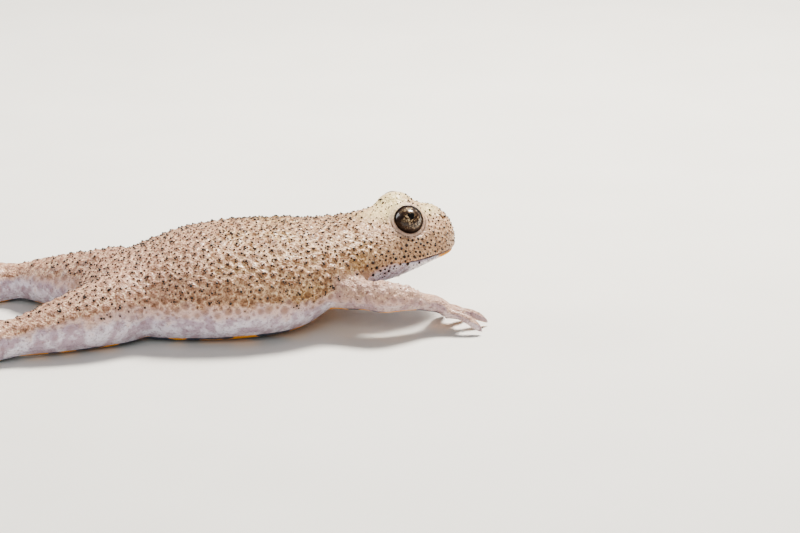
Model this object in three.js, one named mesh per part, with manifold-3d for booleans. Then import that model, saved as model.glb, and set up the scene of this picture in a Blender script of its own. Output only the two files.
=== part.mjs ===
// A fire-bellied toad at life size, stretched out as it floats: belly and limbs down, head up,
// one arm and one leg straight, all resting on one level.
// Millimetres, +Z up, +X towards the snout, +Y towards the animal's own left.
// Heights are counted from the resting level; lengths along the body run from the vent to the snout.
import * as THREE from "three";
import { mergeVertices } from "three/addons/utils/BufferGeometryUtils.js";
import Module from "manifold-3d";

const wasm = await Module();
wasm.setup();

// Driving sizes of the animal
const BODY_LENGTH = 51.5; // snout to vent
const VENT_X = -26;
const HEAD_TURN = THREE.MathUtils.degToRad(5); // the head looks a little to its left
const NECK_AT = 36.5;
const JAW_CORNER_AT = 38.5;
const SNOUT_ROUND_FROM = 47;
const VENT_ROUND_UPTO = 7;
const HEAD_HALF_WIDTH = 7.5;
const MOUTH_HEIGHT = 8.7;
const EYE_RADIUS = 1.9;
const EYE_AT = 44.2;
const EYE_SIDE = 3.85;
const EYE_HEIGHT = 13.1;
const GAZE_RISE = THREE.MathUtils.degToRad(30);
const GAP = 0.3; // between neighbouring solids
const WART_HEIGHT = 0.55;
const BODY_SIDES = 42; // a multiple of six, so that the warts close round the body
const BODY_RINGS = 47;

// Seeded draw between 0 and 1, so that the warts vary and never change
let seed = 41;
const draw = () => {
  seed = (seed * 16807) % 2147483647;
  return seed / 2147483647;
};

// A smooth curve of values through [position, value] stops
function through(...stops) {
  const slope = stops.map((_, i) => {
    const [before, after] = [stops[Math.max(i - 1, 0)], stops[Math.min(i + 1, stops.length - 1)]];
    return (after[1] - before[1]) / (after[0] - before[0]);
  });
  return (x) => {
    if (x <= stops[0][0]) return stops[0][1];
    const b = stops.findIndex(([at]) => at >= x);
    if (b < 0) return stops[stops.length - 1][1];
    const [[xa, ya], [xb, yb]] = [stops[b - 1], stops[b]];
    const span = xb - xa;
    const t = (x - xa) / span;
    const rise = slope[b - 1] * span * t * (1 - t) ** 2 - slope[b] * span * t ** 2 * (1 - t);
    return ya + (yb - ya) * t * t * (3 - 2 * t) + rise;
  };
}

// How much of a form is left at share t of a rounded end: 1 at its start, 0 at its tip
const rounded = (t, power) => (t <= 0 ? 1 : Math.max(0, 1 - Math.min(t, 1) ** power) ** (1 / power));

// Body outline, each as [distance from the vent, millimetres]
const sideWidth = through(
  ...[[0, 7.4], [7, 8.6], [12, 10.6], [18, 12.2], [24, 12.6], [30, 11.2], [34.5, 8.9], [JAW_CORNER_AT, 7.6]],
);
const backHeight = through(
  ...[[0, 8.6], [7, 9.9], [14, 12.1], [20, 12.9], [28, 13], [33, 12.7], [38, 13.3], [42, 14]],
  [BODY_LENGTH, 14.1],
);
const bellyHeight = through(
  ...[[0, 0.9], [7, -0.1], [10, -0.5], [25, -0.5], [29, 0.2], [33, 2.3], [36, 3.8], [42, 4.9], [48, 6.8]],
  [BODY_LENGTH, 7.2],
);
const widestHeight = through([0, 4.8], [28, 5.4], [36, 7.6], [41, 8.9], [BODY_LENGTH, 9.5]);
const backPower = through([0, 2.2], [30, 2.2], [42, 1.9], [BODY_LENGTH, 2]);
const bellyPower = through([0, 2.1], [15, 2.6], [36, 2.2], [BODY_LENGTH, 2]);

// The plan of the backbone: straight, then turned at the neck
function backbone(s) {
  const beyond = s - NECK_AT + 4;
  const bend = HEAD_TURN * THREE.MathUtils.smoothstep(beyond, 0, 8);
  const along = Math.max(beyond, 0);
  return { x: VENT_X + s, y: along * Math.sin(bend) * 0.9, heading: bend };
}

// The section of the body at s: half width, heights, and the power of its rounding
function section(s, grow = 0) {
  const snout = (s - JAW_CORNER_AT) / (BODY_LENGTH - JAW_CORNER_AT);
  const vent = (VENT_ROUND_UPTO - s) / VENT_ROUND_UPTO;
  const tip = rounded((s - SNOUT_ROUND_FROM) / (BODY_LENGTH - SNOUT_ROUND_FROM), 2.2);
  const end = tip * rounded(vent, 2);
  const width = s < JAW_CORNER_AT ? sideWidth(s) * rounded(vent, 2) : HEAD_HALF_WIDTH * rounded(snout, 2.3);
  const level = widestHeight(s);
  return {
    width: width + grow,
    level,
    up: (backHeight(s) - level) * end + grow,
    down: (level - bellyHeight(s)) * end + grow,
  };
}

const power = (value, exponent) => Math.sign(value) * Math.abs(value) ** exponent;

// A point of the body's skin, at angle a round the section at s (0 the left side, a quarter turn the back)
function bodyPoint(s, a, grow = 0, raise = 0) {
  const cut = section(s, grow);
  const spine = backbone(s);
  const n = Math.sin(a) >= 0 ? backPower(s) : bellyPower(s);
  const y = (cut.width + raise * Math.abs(Math.cos(a))) * power(Math.cos(a), 2 / n);
  const tall = (Math.sin(a) >= 0 ? cut.up : cut.down) + raise * Math.abs(Math.sin(a));
  const z = cut.level + tall * power(Math.sin(a), 2 / n);
  return new THREE.Vector3(spine.x - y * Math.sin(spine.heading), spine.y + y * Math.cos(spine.heading), z);
}

// A closed surface over rings of points between two end points.
// Every other ring is turned by half a step, so that each point has six neighbours.
function closedOver(rings, first, last) {
  const sides = rings[0].length;
  const points = [...rings.flat(), first, last];
  const faces = [];
  const at = (ring, k) => ring * sides + ((k + sides) % sides);
  for (let k = 0; k < sides; k++) {
    faces.push([points.length - 2, at(0, k + 1), at(0, k)]);
    faces.push([points.length - 1, at(rings.length - 1, k), at(rings.length - 1, k + 1)]);
  }
  for (let i = 0; i + 1 < rings.length; i++) {
    const ahead = i % 2; // a turned ring's point lies half a step ahead of its neighbours
    for (let k = 0; k < sides; k++) {
      faces.push([at(i, k), at(i, k + 1), at(i + 1, k + ahead)]);
      faces.push([at(i + 1, k + ahead), at(i, k + 1), at(i + 1, k + 1 + ahead)]);
    }
  }
  return new THREE.BufferGeometry()
    .setAttribute("position", new THREE.Float32BufferAttribute(points.flatMap((p) => p.toArray()), 3))
    .setIndex(faces.flat());
}

// One point in three of the six-neighbour mesh carries a wart, so that each wart stands alone
const isWart = (ring, k) => (((k - Math.floor(ring / 2) - ring) % 3) + 3) % 3 === 0;

// A three.js geometry as a solid
function solid(geometry) {
  const bare = geometry.clone();
  bare.deleteAttribute("normal");
  bare.deleteAttribute("uv");
  const merged = mergeVertices(bare, 1e-4);
  return new wasm.Manifold(
    new wasm.Mesh({
      numProp: 3,
      vertProperties: merged.attributes.position.array,
      triVerts: new Uint32Array(merged.index.array),
    }),
  );
}

// The heights of the body's warts, drawn once for every ring and side
const wartDraws = Array.from({ length: BODY_RINGS }, () => Array.from({ length: BODY_SIDES }, draw));

// How tall warts may be at s and angle a: full on the back, low on the head, none on belly and lips
function wartRoom(s, a) {
  const place = bodyPoint(s, a);
  const back = THREE.MathUtils.smoothstep(Math.sin(a), -0.35, 0.25);
  const head = s > NECK_AT + 1 ? 0.5 : 1;
  const ends = THREE.MathUtils.smoothstep(BODY_LENGTH - s, 1.2, 3) * THREE.MathUtils.smoothstep(s, 1, 4);
  const fromMouth = s > JAW_CORNER_AT - 2 ? Math.abs(place.z - MOUTH_HEIGHT) : Infinity;
  const lips = THREE.MathUtils.smoothstep(fromMouth, 0.9, 1.5);
  return back * head * ends * lips;
}

// The whole trunk and head in one skin; grow swells it evenly
function bodySkin(grow = 0) {
  const tip = [0.12, 0.45, 1];
  const first = 1.9;
  const step = (BODY_LENGTH - 2 * first) / (BODY_RINGS - 2 * tip.length - 1);
  const places = [
    ...tip,
    ...Array.from({ length: BODY_RINGS - 2 * tip.length }, (_, i) => first + step * i),
    ...tip.map((t) => BODY_LENGTH - t).reverse(),
  ];
  const rings = places.map((s, i) =>
    Array.from({ length: BODY_SIDES }, (_, k) => {
      const even = (2 * Math.PI * (k + (i % 2) / 2)) / BODY_SIDES;
      const a = even + 0.12 * Math.sin(2 * even) + 0.2 * Math.cos(even); // finer on the back than on the belly
      const height = isWart(i, k) ? WART_HEIGHT * (0.35 + 0.65 * wartDraws[i][k]) * wartRoom(s, a) : 0;
      return bodyPoint(s, a, grow, height);
    }),
  );
  const vent = bodyPoint(-grow, 0, -section(0).width);
  const snout = bodyPoint(BODY_LENGTH, 0).setX(VENT_X + BODY_LENGTH + grow);
  return solid(closedOver(rings, vent, snout));
}

// A limb's piece between shares from and to of a path, oval in section.
// width and height are half sizes in millimetres as functions of the share; warts is the height of its warts.
function limb(path, { from = 0, to = 1, width, height, sides = 12, rings = 8, warts = 0, round = false }) {
  const made = Array.from({ length: rings }, (_, i) => {
    const share = i / (rings - 1);
    const u = from + (to - from) * share;
    const centre = path.getPointAt(u);
    const ahead = path.getTangentAt(u);
    const side = new THREE.Vector3(0, 0, 1).cross(ahead).normalize();
    const up = ahead.clone().cross(side);
    const close = round ? rounded((share - 0.75) / 0.27, 2) : 1;
    return Array.from({ length: sides }, (_, k) => {
      const a = (2 * Math.PI * (k + (i % 2) / 2)) / sides;
      const inside = i > 1 && i < rings - 2;
      const wart = inside && isWart(i, k) && Math.sin(a) > 0 ? warts * (0.5 + 0.5 * draw()) : 0;
      return centre
        .clone()
        .addScaledVector(side, (width(u) + wart) * close * Math.cos(a))
        .addScaledVector(up, (height(u) + wart) * close * Math.sin(a));
    });
  });
  return solid(closedOver(made, path.getPointAt(from), path.getPointAt(to)));
}

const joinAll = (solids) => solids.reduce((sum, next) => sum.add(next));
const largest = (made) => made.decompose().reduce((a, b) => (a.volume() > b.volume() ? a : b));
const ball = (centre, radius, across = 16) =>
  solid(new THREE.SphereGeometry(radius, across, Math.round(across * 0.6)).translate(...centre.toArray()));

// A block centred at a place and turned about Z
const block = (size, centre, turn = 0) =>
  solid(new THREE.BoxGeometry(...size).rotateZ(turn).translate(...centre.toArray()));

const floor = block([400, 400, 40], new THREE.Vector3(0, 0, -20));
const onFloor = (made) => largest(made.subtract(floor));

// Eyes: balls set into the sides of the head, looking out and up
function eye(side) {
  const spine = backbone(EYE_AT);
  const centre = new THREE.Vector3(spine.x, spine.y + side * EYE_SIDE, EYE_HEIGHT);
  const gaze = new THREE.Vector3(0.05, side * Math.cos(GAZE_RISE), Math.sin(GAZE_RISE)).normalize();
  return { centre, gaze };
}
const eyes = { right: eye(-1), left: eye(1) };
const LID_RADIUS = EYE_RADIUS + GAP + 0.32;
const LID_SET_BACK = 0.35;
const COLLAR_RADIUS = 2.95; // the swelling of the head round each eye
const COLLAR_SET_BACK = 1.1;
const EYE_WINDOW = 2; // radius of the opening between the lids

// The opening between the lids, a cone that widens outwards along the gaze
function eyeWindow({ centre, gaze }) {
  const cone = new THREE.CylinderGeometry(EYE_WINDOW * 1.25, EYE_WINDOW, 4, 18);
  cone.applyQuaternion(new THREE.Quaternion().setFromUnitVectors(new THREE.Vector3(0, 1, 0), gaze));
  const middle = centre.clone().addScaledVector(gaze, EYE_RADIUS * 0.32 + 2);
  return solid(cone.translate(...middle.toArray()));
}

// The mouth line: round the front of the head at one height, as points on the skin
function mouthSide(s) {
  const cut = section(s);
  const drop = Math.min(1, (cut.level - MOUTH_HEIGHT) / Math.max(cut.down, 0.01));
  return cut.width * (1 - Math.max(drop, 0) ** bellyPower(s)) ** (1 / bellyPower(s));
}
function mouthPath() {
  const places = [JAW_CORNER_AT, 40.5, 42.5, 44.5, 46.5, 48.3, 49.7, 50.7];
  const half = (side) =>
    places.map((s) => {
      const spine = backbone(s);
      return new THREE.Vector3(spine.x, spine.y + side * mouthSide(s), MOUTH_HEIGHT);
    });
  const front = backbone(BODY_LENGTH);
  return new THREE.CatmullRomCurve3([
    ...half(-1),
    new THREE.Vector3(front.x - 0.35, front.y, MOUTH_HEIGHT),
    ...half(1).reverse(),
  ]);
}

// Lips: a slim roll along the mouth line, which the mouth's cut then parts in two
const LIP_RADIUS = 0.5;
const lips = limb(mouthPath(), {
  width: (u) => LIP_RADIUS * Math.min(1, 0.4 + 5 * Math.min(u, 1 - u)),
  height: (u) => LIP_RADIUS * Math.min(1, 0.4 + 5 * Math.min(u, 1 - u)) * 1.2,
  sides: 6,
  rings: 26,
});

// Nostrils: two small pits on the upper front of the snout
const NOSTRIL_AT = 49.2;
const NOSTRIL_SIDE = 1.7;
const NOSTRIL_HEIGHT = 12.9;
function nostril(side) {
  const spine = backbone(NOSTRIL_AT);
  return ball(new THREE.Vector3(spine.x, spine.y + side * NOSTRIL_SIDE, NOSTRIL_HEIGHT + 0.35), 0.5, 10);
}

// The mouth's thin cut, seen from the side: back along the mouth line and down behind the jaw
function mouthCut() {
  const corner = VENT_X + JAW_CORNER_AT;
  const reach = VENT_X + BODY_LENGTH + 3;
  const line = new THREE.SplineCurve([
    new THREE.Vector2(corner - 0.6, 2),
    new THREE.Vector2(corner - 0.3, 6.2),
    new THREE.Vector2(corner + 0.4, 8.1),
    new THREE.Vector2(corner + 2, MOUTH_HEIGHT),
    new THREE.Vector2(corner + 6, MOUTH_HEIGHT + 0.1),
    new THREE.Vector2(corner + 11, MOUTH_HEIGHT),
    new THREE.Vector2(reach, MOUTH_HEIGHT),
  ]).getPoints(24);
  const shift = new THREE.Vector2(GAP * 0.6, -GAP * 0.9);
  const strip = new THREE.Shape([...line, ...line.map((p) => p.clone().add(shift)).reverse()]);
  const cut = new THREE.ExtrudeGeometry(strip, { depth: 40, bevelEnabled: false, steps: 1 });
  return solid(cut.rotateX(Math.PI / 2).translate(0, 20, 0));
}

// Trunk, head and lower jaw come out of one whole body
function bodyPieces() {
  const neck = backbone(NECK_AT);
  const sides = Object.values(eyes);
  const behind = ({ centre, gaze }, back, radius) => ball(centre.clone().addScaledVector(gaze, -back), radius);
  const lids = sides.map((one) => behind(one, LID_SET_BACK, LID_RADIUS));
  const collars = sides.map((one) => behind(one, COLLAR_SET_BACK, COLLAR_RADIUS));
  const whole = joinAll([bodySkin(), lips, ...lids, ...collars]);
  const cuts = joinAll([
    floor,
    mouthCut(),
    block([GAP, 60, 60], new THREE.Vector3(neck.x, neck.y, 10), neck.heading),
    ...sides.map(({ centre }) => ball(centre, EYE_RADIUS + GAP)),
    ...sides.map(eyeWindow),
    nostril(-1),
    nostril(1),
  ]);
  const [trunk, ...rest] = whole.subtract(cuts).decompose().sort((a, b) => b.volume() - a.volume());
  const [head, jaw] = rest;
  return { trunk, head, jaw };
}

const body = bodyPieces();
const swollenBody = bodySkin(GAP);

// A path through the joints of a limb
const pathThrough = (...joints) =>
  new THREE.CatmullRomCurve3(joints.map((joint) => new THREE.Vector3(...joint)), false, "centripetal");

// Splits a limb's path into named pieces that face each other across the gap
function limbPieces(path, ends, sizes) {
  const half = GAP / 2 / path.getLength();
  return ends.slice(1).map((end, i) => {
    const from = ends[i] + (i ? half : 0);
    const to = end + (i + 2 < ends.length || sizes.open ? -half : 0);
    return limb(path, { ...sizes, ...sizes.pieces[i], from, to });
  });
}

// Arms: shoulder, elbow, wrist
const armWidth = through([0, 2.9], [0.3, 2.5], [0.5, 2.15], [0.68, 2.3], [0.85, 1.8], [1, 1.55]);
const armHeight = through([0, 3.1], [0.3, 2.4], [0.5, 2.0], [0.68, 2.1], [0.85, 1.6], [1, 1.2]);
const armSizes = {
  width: armWidth,
  height: armHeight,
  sides: 12,
  warts: 0.3,
  open: true,
  pieces: [{ rings: 9 }, { rings: 10 }],
};
const shoulderToElbow = {
  right: [[4.4, -4.5, 6], [8.6, -8.8, 5.6], [12.6, -11.4, 5.5]],
  left: [[4, 4.5, 5.6], [5.4, 10.5, 4], [7.4, 14.8, 2.7]],
};
const armPaths = {
  right: pathThrough(...shoulderToElbow.right, [15.4, -11.3, 5.1], [18.4, -10.6, 4.2]),
  left: pathThrough(...shoulderToElbow.left, [10.8, 17, 2.5], [15, 18, 2.4]),
};

// A place on a hand or foot, counted from where it starts: ahead, to the side and above the resting level
const placeFrom = (start, heading) => (x, y, z) =>
  new THREE.Vector3(x, y, 0).applyAxisAngle(new THREE.Vector3(0, 0, 1), heading).add(start).setZ(z);

// Hands and feet: a flat palm with a fan of tapered digits
function digit(root, heading, { length, thick, arch }) {
  const ahead = new THREE.Vector3(Math.cos(heading), Math.sin(heading), 0);
  const path = new THREE.QuadraticBezierCurve3(
    root,
    root.clone().addScaledVector(ahead, length * 0.55).setZ(arch),
    root.clone().addScaledVector(ahead, length).setZ(thick * 0.62),
  );
  const size = (u) => thick * (1 - 0.24 * u + 0.1 * Math.cos(9 * u)); // thicker at its joints
  return limb(path, { width: size, height: (u) => size(u) * 0.95, sides: 6, rings: 8, round: true });
}

const FINGERS = [
  { turn: 46, length: 4.7 },
  { turn: 17, length: 5.2 },
  { turn: -9, length: 6.6 },
  { turn: -40, length: 5 },
];
const FINGER_THICKNESS = 0.74;
function hand(wrist, ahead, side) {
  const heading = Math.atan2(ahead.y, ahead.x);
  const reach = placeFrom(wrist, heading);
  const start = wrist.clone().addScaledVector(ahead, GAP / 2);
  const knuckles = reach(4, 0, wrist.z * 0.55 + 0.2);
  const palm = limb(new THREE.CatmullRomCurve3([start, reach(2, 0, wrist.z * 0.86), knuckles]), {
    width: through([0, 1.55], [0.35, 1.7], [0.8, 2.2], [1, 1.8]),
    height: through([0, 1.2], [0.5, 1.05], [1, 0.75]),
    rings: 7,
    round: true,
  });
  const fingers = FINGERS.map(({ turn, length }, i) =>
    digit(reach(2.5, side * (1.5 - i), wrist.z * 0.62), heading + side * THREE.MathUtils.degToRad(turn), {
      length,
      thick: FINGER_THICKNESS,
      arch: wrist.z * 0.62 + 0.3,
    }),
  );
  return onFloor(joinAll([palm, ...fingers]));
}

// Legs: hip, knee, ankle, and the end of the long heel
const legWidth = through(
  ...[[0, 4.8], [0.12, 4.7], [0.3, 3.7], [0.41, 2.7], [0.5, 3], [0.62, 2.9], [0.8, 1.7], [0.9, 1.6], [1, 1.7]],
);
const legHeight = through(
  ...[[0, 5], [0.12, 4.5], [0.3, 3.3], [0.41, 2.5], [0.5, 2.7], [0.62, 2.5], [0.8, 1.5], [0.9, 1.3], [1, 1.1]],
);
const legSizes = {
  width: legWidth,
  height: legHeight,
  sides: 15,
  warts: 0.35,
  open: true,
  pieces: [{ rings: 18 }, { rings: 17 }, { rings: 8, warts: 0.15 }],
};
const hipToKnee = {
  right: [[-17.5, -3.6, 5], [-24, -6.4, 4.3], [-37, -8.6, 2.6]],
  left: [[-17.5, 3.6, 5], [-22.5, 8, 4.2], [-32.4, 16.6, 2.6]],
};
const legPaths = {
  right: pathThrough(...hipToKnee.right, [-45, -8.3, 2.3], [-53.5, -6.9, 1.6], [-61.5, -8.3, 1.1]),
  left: pathThrough(...hipToKnee.left, [-40, 14.6, 2.3], [-47.6, 9.6, 1.6], [-55.4, 11.2, 1.1]),
};
const LEG_JOINTS = [0, 0.41, 0.805, 1];
const ARM_JOINTS = [0, 0.52, 1];

const TOES = [
  { turn: 40, length: 6 },
  { turn: 22, length: 8.6 },
  { turn: 6, length: 11.4 },
  { turn: -9, length: 14.5 },
  { turn: -26, length: 11.2 },
];
const TOE_THICKNESS = 0.72;
const TOE_ARCH = 0.75;
const WEB_THICKNESS = 0.5;
const WEB_HEIGHT = 0.15; // of its underside
const WEB_REACH = 0.8; // how far along its toes the web runs
const WEB_SCALLOP = 0.6; // and how far its hollow edge between two toes is drawn back
function foot(heel, ahead, side) {
  const heading = Math.atan2(ahead.y, ahead.x);
  const reach = placeFrom(heel, heading);
  const start = heel.clone().addScaledVector(ahead, GAP / 2);
  const sole = limb(new THREE.CatmullRomCurve3([start, reach(2.5, 0, 0.95), reach(5.5, 0, 0.8)]), {
    width: through([0, 1.7], [0.5, 2.3], [1, 2.4]),
    height: through([0, 1.1], [0.5, 1], [1, 0.75]),
    rings: 7,
    round: true,
  });
  const toe = (i) => ({
    root: reach(3, side * (1.5 - 0.75 * i), 0.8),
    heading: heading + side * THREE.MathUtils.degToRad(TOES[i].turn),
    length: TOES[i].length,
  });
  const toes = TOES.map(({ length }, i) =>
    digit(toe(i).root, toe(i).heading, { length, thick: TOE_THICKNESS, arch: TOE_ARCH }),
  );
  const along = ({ root, heading: turn, length }, share) =>
    new THREE.Vector2(root.x + Math.cos(turn) * length * share, root.y + Math.sin(turn) * length * share);
  const web = new THREE.Shape();
  web.moveTo(toe(0).root.x, toe(0).root.y);
  TOES.forEach((_, i) => {
    const edge = along(toe(i), WEB_REACH);
    if (i) {
      const [a, b] = [along(toe(i - 1), WEB_SCALLOP), along(toe(i), WEB_SCALLOP)];
      web.quadraticCurveTo((a.x + b.x) / 2, (a.y + b.y) / 2, edge.x, edge.y);
    } else web.lineTo(edge.x, edge.y);
  });
  const last = toe(TOES.length - 1).root;
  web.lineTo(last.x, last.y);
  web.closePath();
  const skin = new THREE.ExtrudeGeometry(web, { depth: WEB_THICKNESS, bevelEnabled: false, curveSegments: 6 });
  return onFloor(joinAll([sole, ...toes, solid(skin.translate(0, 0, WEB_HEIGHT))]));
}

// Colours and finish of the parts
const skinFinish = new THREE.MeshStandardMaterial({ color: 0xb79f86, roughness: 0.55, metalness: 0 });
const jawFinish = new THREE.MeshStandardMaterial({ color: 0xb9b3b8, roughness: 0.5, metalness: 0 });
const digitFinish = new THREE.MeshStandardMaterial({ color: 0xc2a06c, roughness: 0.55, metalness: 0 });
const eyeFinish = new THREE.MeshStandardMaterial({ color: 0x4a3a26, roughness: 0.1, metalness: 0 });

const toad = new THREE.Group();
const SAME_POINT = 2e-3; // points closer than this, left side by side by a cut, become one
function place(name, made, material) {
  const mesh = made.getMesh();
  const cut = new THREE.BufferGeometry()
    .setAttribute("position", new THREE.Float32BufferAttribute(mesh.vertProperties, 3))
    .setIndex(new THREE.Uint32BufferAttribute(mesh.triVerts, 1));
  const geometry = mergeVertices(cut, SAME_POINT);
  const corners = geometry.index.array;
  const faces = Array.from({ length: corners.length / 3 }, (_, f) => [...corners.slice(3 * f, 3 * f + 3)]);
  geometry.setIndex(faces.filter(([a, b, c]) => a !== b && b !== c && c !== a).flat());
  geometry.computeVertexNormals();
  const part = new THREE.Mesh(geometry, material);
  part.name = name;
  toad.add(part);
}

place("trunk", body.trunk, skinFinish);
place("head", body.head, skinFinish);
place("lower_jaw", body.jaw, jawFinish);
for (const side of ["right", "left"]) {
  const turn = side === "right" ? 1 : -1;
  place(`eye_${side}`, ball(eyes[side].centre, EYE_RADIUS), eyeFinish);

  const [upperArm, forearm] = limbPieces(armPaths[side], ARM_JOINTS, armSizes);
  place(`upper_arm_${side}`, onFloor(upperArm.subtract(swollenBody)), skinFinish);
  place(`forearm_${side}`, onFloor(forearm), skinFinish);
  place(`hand_${side}`, hand(armPaths[side].getPointAt(1), armPaths[side].getTangentAt(1), turn), digitFinish);

  const [thigh, shank, heel] = limbPieces(legPaths[side], LEG_JOINTS, legSizes);
  place(`thigh_${side}`, onFloor(thigh.subtract(swollenBody)), skinFinish);
  place(`shank_${side}`, onFloor(shank), skinFinish);
  place(`heel_${side}`, onFloor(heel), skinFinish);
  place(`foot_${side}`, foot(legPaths[side].getPointAt(1), legPaths[side].getTangentAt(1), turn), digitFinish);
}

// The origin is on the resting level, under the middle of the whole model
const bounds = new THREE.Box3().setFromObject(toad);
const middle = bounds.getCenter(new THREE.Vector3());
toad.position.set(-middle.x, -middle.y, -bounds.min.z);

export default toad;
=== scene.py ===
import math

import bpy
import numpy as np
from mathutils import Matrix, Vector, noise
from mathutils.bvhtree import BVHTree
from mathutils.kdtree import KDTree


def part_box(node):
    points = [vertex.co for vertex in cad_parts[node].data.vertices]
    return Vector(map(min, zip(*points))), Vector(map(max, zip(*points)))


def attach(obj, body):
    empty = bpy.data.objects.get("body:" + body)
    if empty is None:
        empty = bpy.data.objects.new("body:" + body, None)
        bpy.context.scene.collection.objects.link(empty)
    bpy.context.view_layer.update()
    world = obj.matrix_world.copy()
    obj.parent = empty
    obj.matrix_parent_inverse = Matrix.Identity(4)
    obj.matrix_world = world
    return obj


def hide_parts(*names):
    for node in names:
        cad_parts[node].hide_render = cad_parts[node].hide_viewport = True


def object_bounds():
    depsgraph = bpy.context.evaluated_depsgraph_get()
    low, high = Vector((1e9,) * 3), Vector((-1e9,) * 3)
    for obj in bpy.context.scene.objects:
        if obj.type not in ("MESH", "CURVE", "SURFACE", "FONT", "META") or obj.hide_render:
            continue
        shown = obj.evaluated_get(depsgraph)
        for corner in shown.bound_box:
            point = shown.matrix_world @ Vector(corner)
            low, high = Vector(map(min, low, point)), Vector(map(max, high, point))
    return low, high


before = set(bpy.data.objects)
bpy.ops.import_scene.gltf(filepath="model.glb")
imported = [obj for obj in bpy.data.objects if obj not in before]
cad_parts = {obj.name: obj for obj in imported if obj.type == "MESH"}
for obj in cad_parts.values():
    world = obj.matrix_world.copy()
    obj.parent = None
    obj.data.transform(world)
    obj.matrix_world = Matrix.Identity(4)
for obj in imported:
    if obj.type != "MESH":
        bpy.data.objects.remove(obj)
cad_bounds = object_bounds()

MM = 0.001
EYES = ("eye_right", "eye_left")
FLESH = [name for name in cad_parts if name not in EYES]
DIGIT_NODES = [name for name in FLESH if name.startswith(("hand_", "foot_"))]
HAND_NODES = [name for name in FLESH if name.startswith("hand_")]
ARM_NODES = [name for name in FLESH if "arm_" in name]

# Places on the animal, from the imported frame
HEAD_LOW, HEAD_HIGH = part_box("head")
TRUNK_LOW, TRUNK_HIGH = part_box("trunk")
MOUTH_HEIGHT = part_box("lower_jaw")[1].z
SNOUT = Vector((HEAD_HIGH.x, (HEAD_LOW.y + HEAD_HIGH.y) / 2 + 0.4 * MM, MOUTH_HEIGHT))
HEAD_TURN = math.radians(5)
NOSTRIL_BACK = 2.3 * MM
NOSTRIL_SIDE = 1.7 * MM
LOW_SIDE_TOP = 8.2 * MM  # the flank turns from brown to mauve and lavender below this height
LOW_SIDE_DEPTH = 6 * MM

# Eyes and lids
GAZE_RISE = math.radians(30)
EYEBALL_RADIUS = 2.0 * MM  # a little over the solid's, so that the lids close on it
CORNEA_BULGE = 0.12 * MM
LID_EDGE = 68  # degrees from the gaze
LID_OFF_EYE = 0.12 * MM
LID_FOLDS = ((2.1, 0.13), (2.42, 0.1), (2.68, 0.14), (2.98, 0.1))  # places and widths, mm from the gaze

# How the skin is made
GAP_CLOSED_BY = 0.3 * MM  # the solids swell by this much before they are joined, and shrink after
SKIN_VOXEL = 0.37 * MM
SMOOTHING_ROUNDS = 22
UNDERSIDE_SHARE = 0.3  # of the faces beneath that are kept

# Mouth and nostrils: how wide and deep they are carved
MOUTH_LINE_WIDTH = 0.13 * MM
MOUTH_LINE_DEPTH = 0.42 * MM
LIP_PLACE = 0.42 * MM
LIP_WIDTH = 0.24 * MM
LIP_SWELL = 0.12 * MM
NOSTRIL_WIDTH = 0.27 * MM
NOSTRIL_DEPTH = 0.4 * MM
NOSTRIL_RIM_PLACE = 0.5 * MM
NOSTRIL_RIM_WIDTH = 0.2 * MM
NOSTRIL_RIM_SWELL = 0.1 * MM

# Warts
WART_HEIGHT = 0.3 * MM
WART_GAP = 1.34  # millimetres between neighbours on the body
HEAD_GAP_CUT = 0.5  # the gap is smaller by this on the head
LARGE_WART_SHARE = 0.6  # of its gap that a large wart's radius takes
SMALL_WART_GAP = 0.62 * MM
SMALL_WART_RADII = (0.3, 0.42)  # lowest and highest, millimetres
LEAST_WART_ROOM = 0.08
FULL_WART_RADIUS = 0.7 * MM  # a wart of this radius reaches its full height
RAGGED_SIZE = 0.7 * MM  # of the dents in the warts' outlines
LUMP_SIZE = 3.5 * MM
LUMP_HEIGHT = 0.08 * MM

# Spines: lowest and highest radii in millimetres
LARGE_WART_SPINE = (0.15, 0.24)
SMALL_WART_SPINE = (0.1, 0.18)
SIDE_SPINE = (0.1, 0.17)
LARGE_WART_RADIUS = 0.45 * MM

draw = np.random.default_rng(7)


def only(*pieces):
    """Selects these objects and nothing else."""
    if bpy.context.object and bpy.context.object.mode != "OBJECT":
        bpy.ops.object.mode_set(mode="OBJECT")
    bpy.ops.object.select_all(action="DESELECT")
    for piece in pieces:
        piece.select_set(True)
    bpy.context.view_layer.objects.active = pieces[0]


def finish_with(piece, kind, **settings):
    """Adds a modifier and applies it."""
    only(piece)
    modifier = piece.modifiers.new(kind.lower(), kind)
    for name, value in settings.items():
        setattr(modifier, name, value)
    bpy.ops.object.modifier_apply(modifier=modifier.name)


def shade_smooth(piece):
    only(piece)
    bpy.ops.object.shade_smooth()


def points_of(piece):
    """The piece's points and their normals, one row each."""
    count = len(piece.data.vertices)
    points = np.empty(count * 3, np.float32)
    normals = np.empty(count * 3, np.float32)
    piece.data.vertices.foreach_get("co", points)
    piece.data.vertex_normals.foreach_get("vector", normals)
    return points.reshape(-1, 3).astype(float), normals.reshape(-1, 3).astype(float)


def move_points(piece, points):
    piece.data.vertices.foreach_set("co", points.astype(np.float32).ravel())
    piece.data.update()


def corner_points_of(mesh):
    """The number of the point at each face corner."""
    numbers = np.empty(len(mesh.loops), int)
    mesh.loops.foreach_get("vertex_index", numbers)
    return numbers


def box_rows(node):
    """A node's lowest and highest corners as rows of numbers."""
    low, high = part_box(node)
    return np.array(low), np.array(high)


def step(value, low, high):
    """0 below low, 1 above high and smooth between; low may be the larger one."""
    t = np.clip((value - low) / (high - low), 0, 1)
    return t * t * (3 - 2 * t)


def ridge(value, place, width):
    """1 at this place, fading smoothly to both sides of it."""
    return np.exp(-(((value - place) / width) ** 2))


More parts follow.
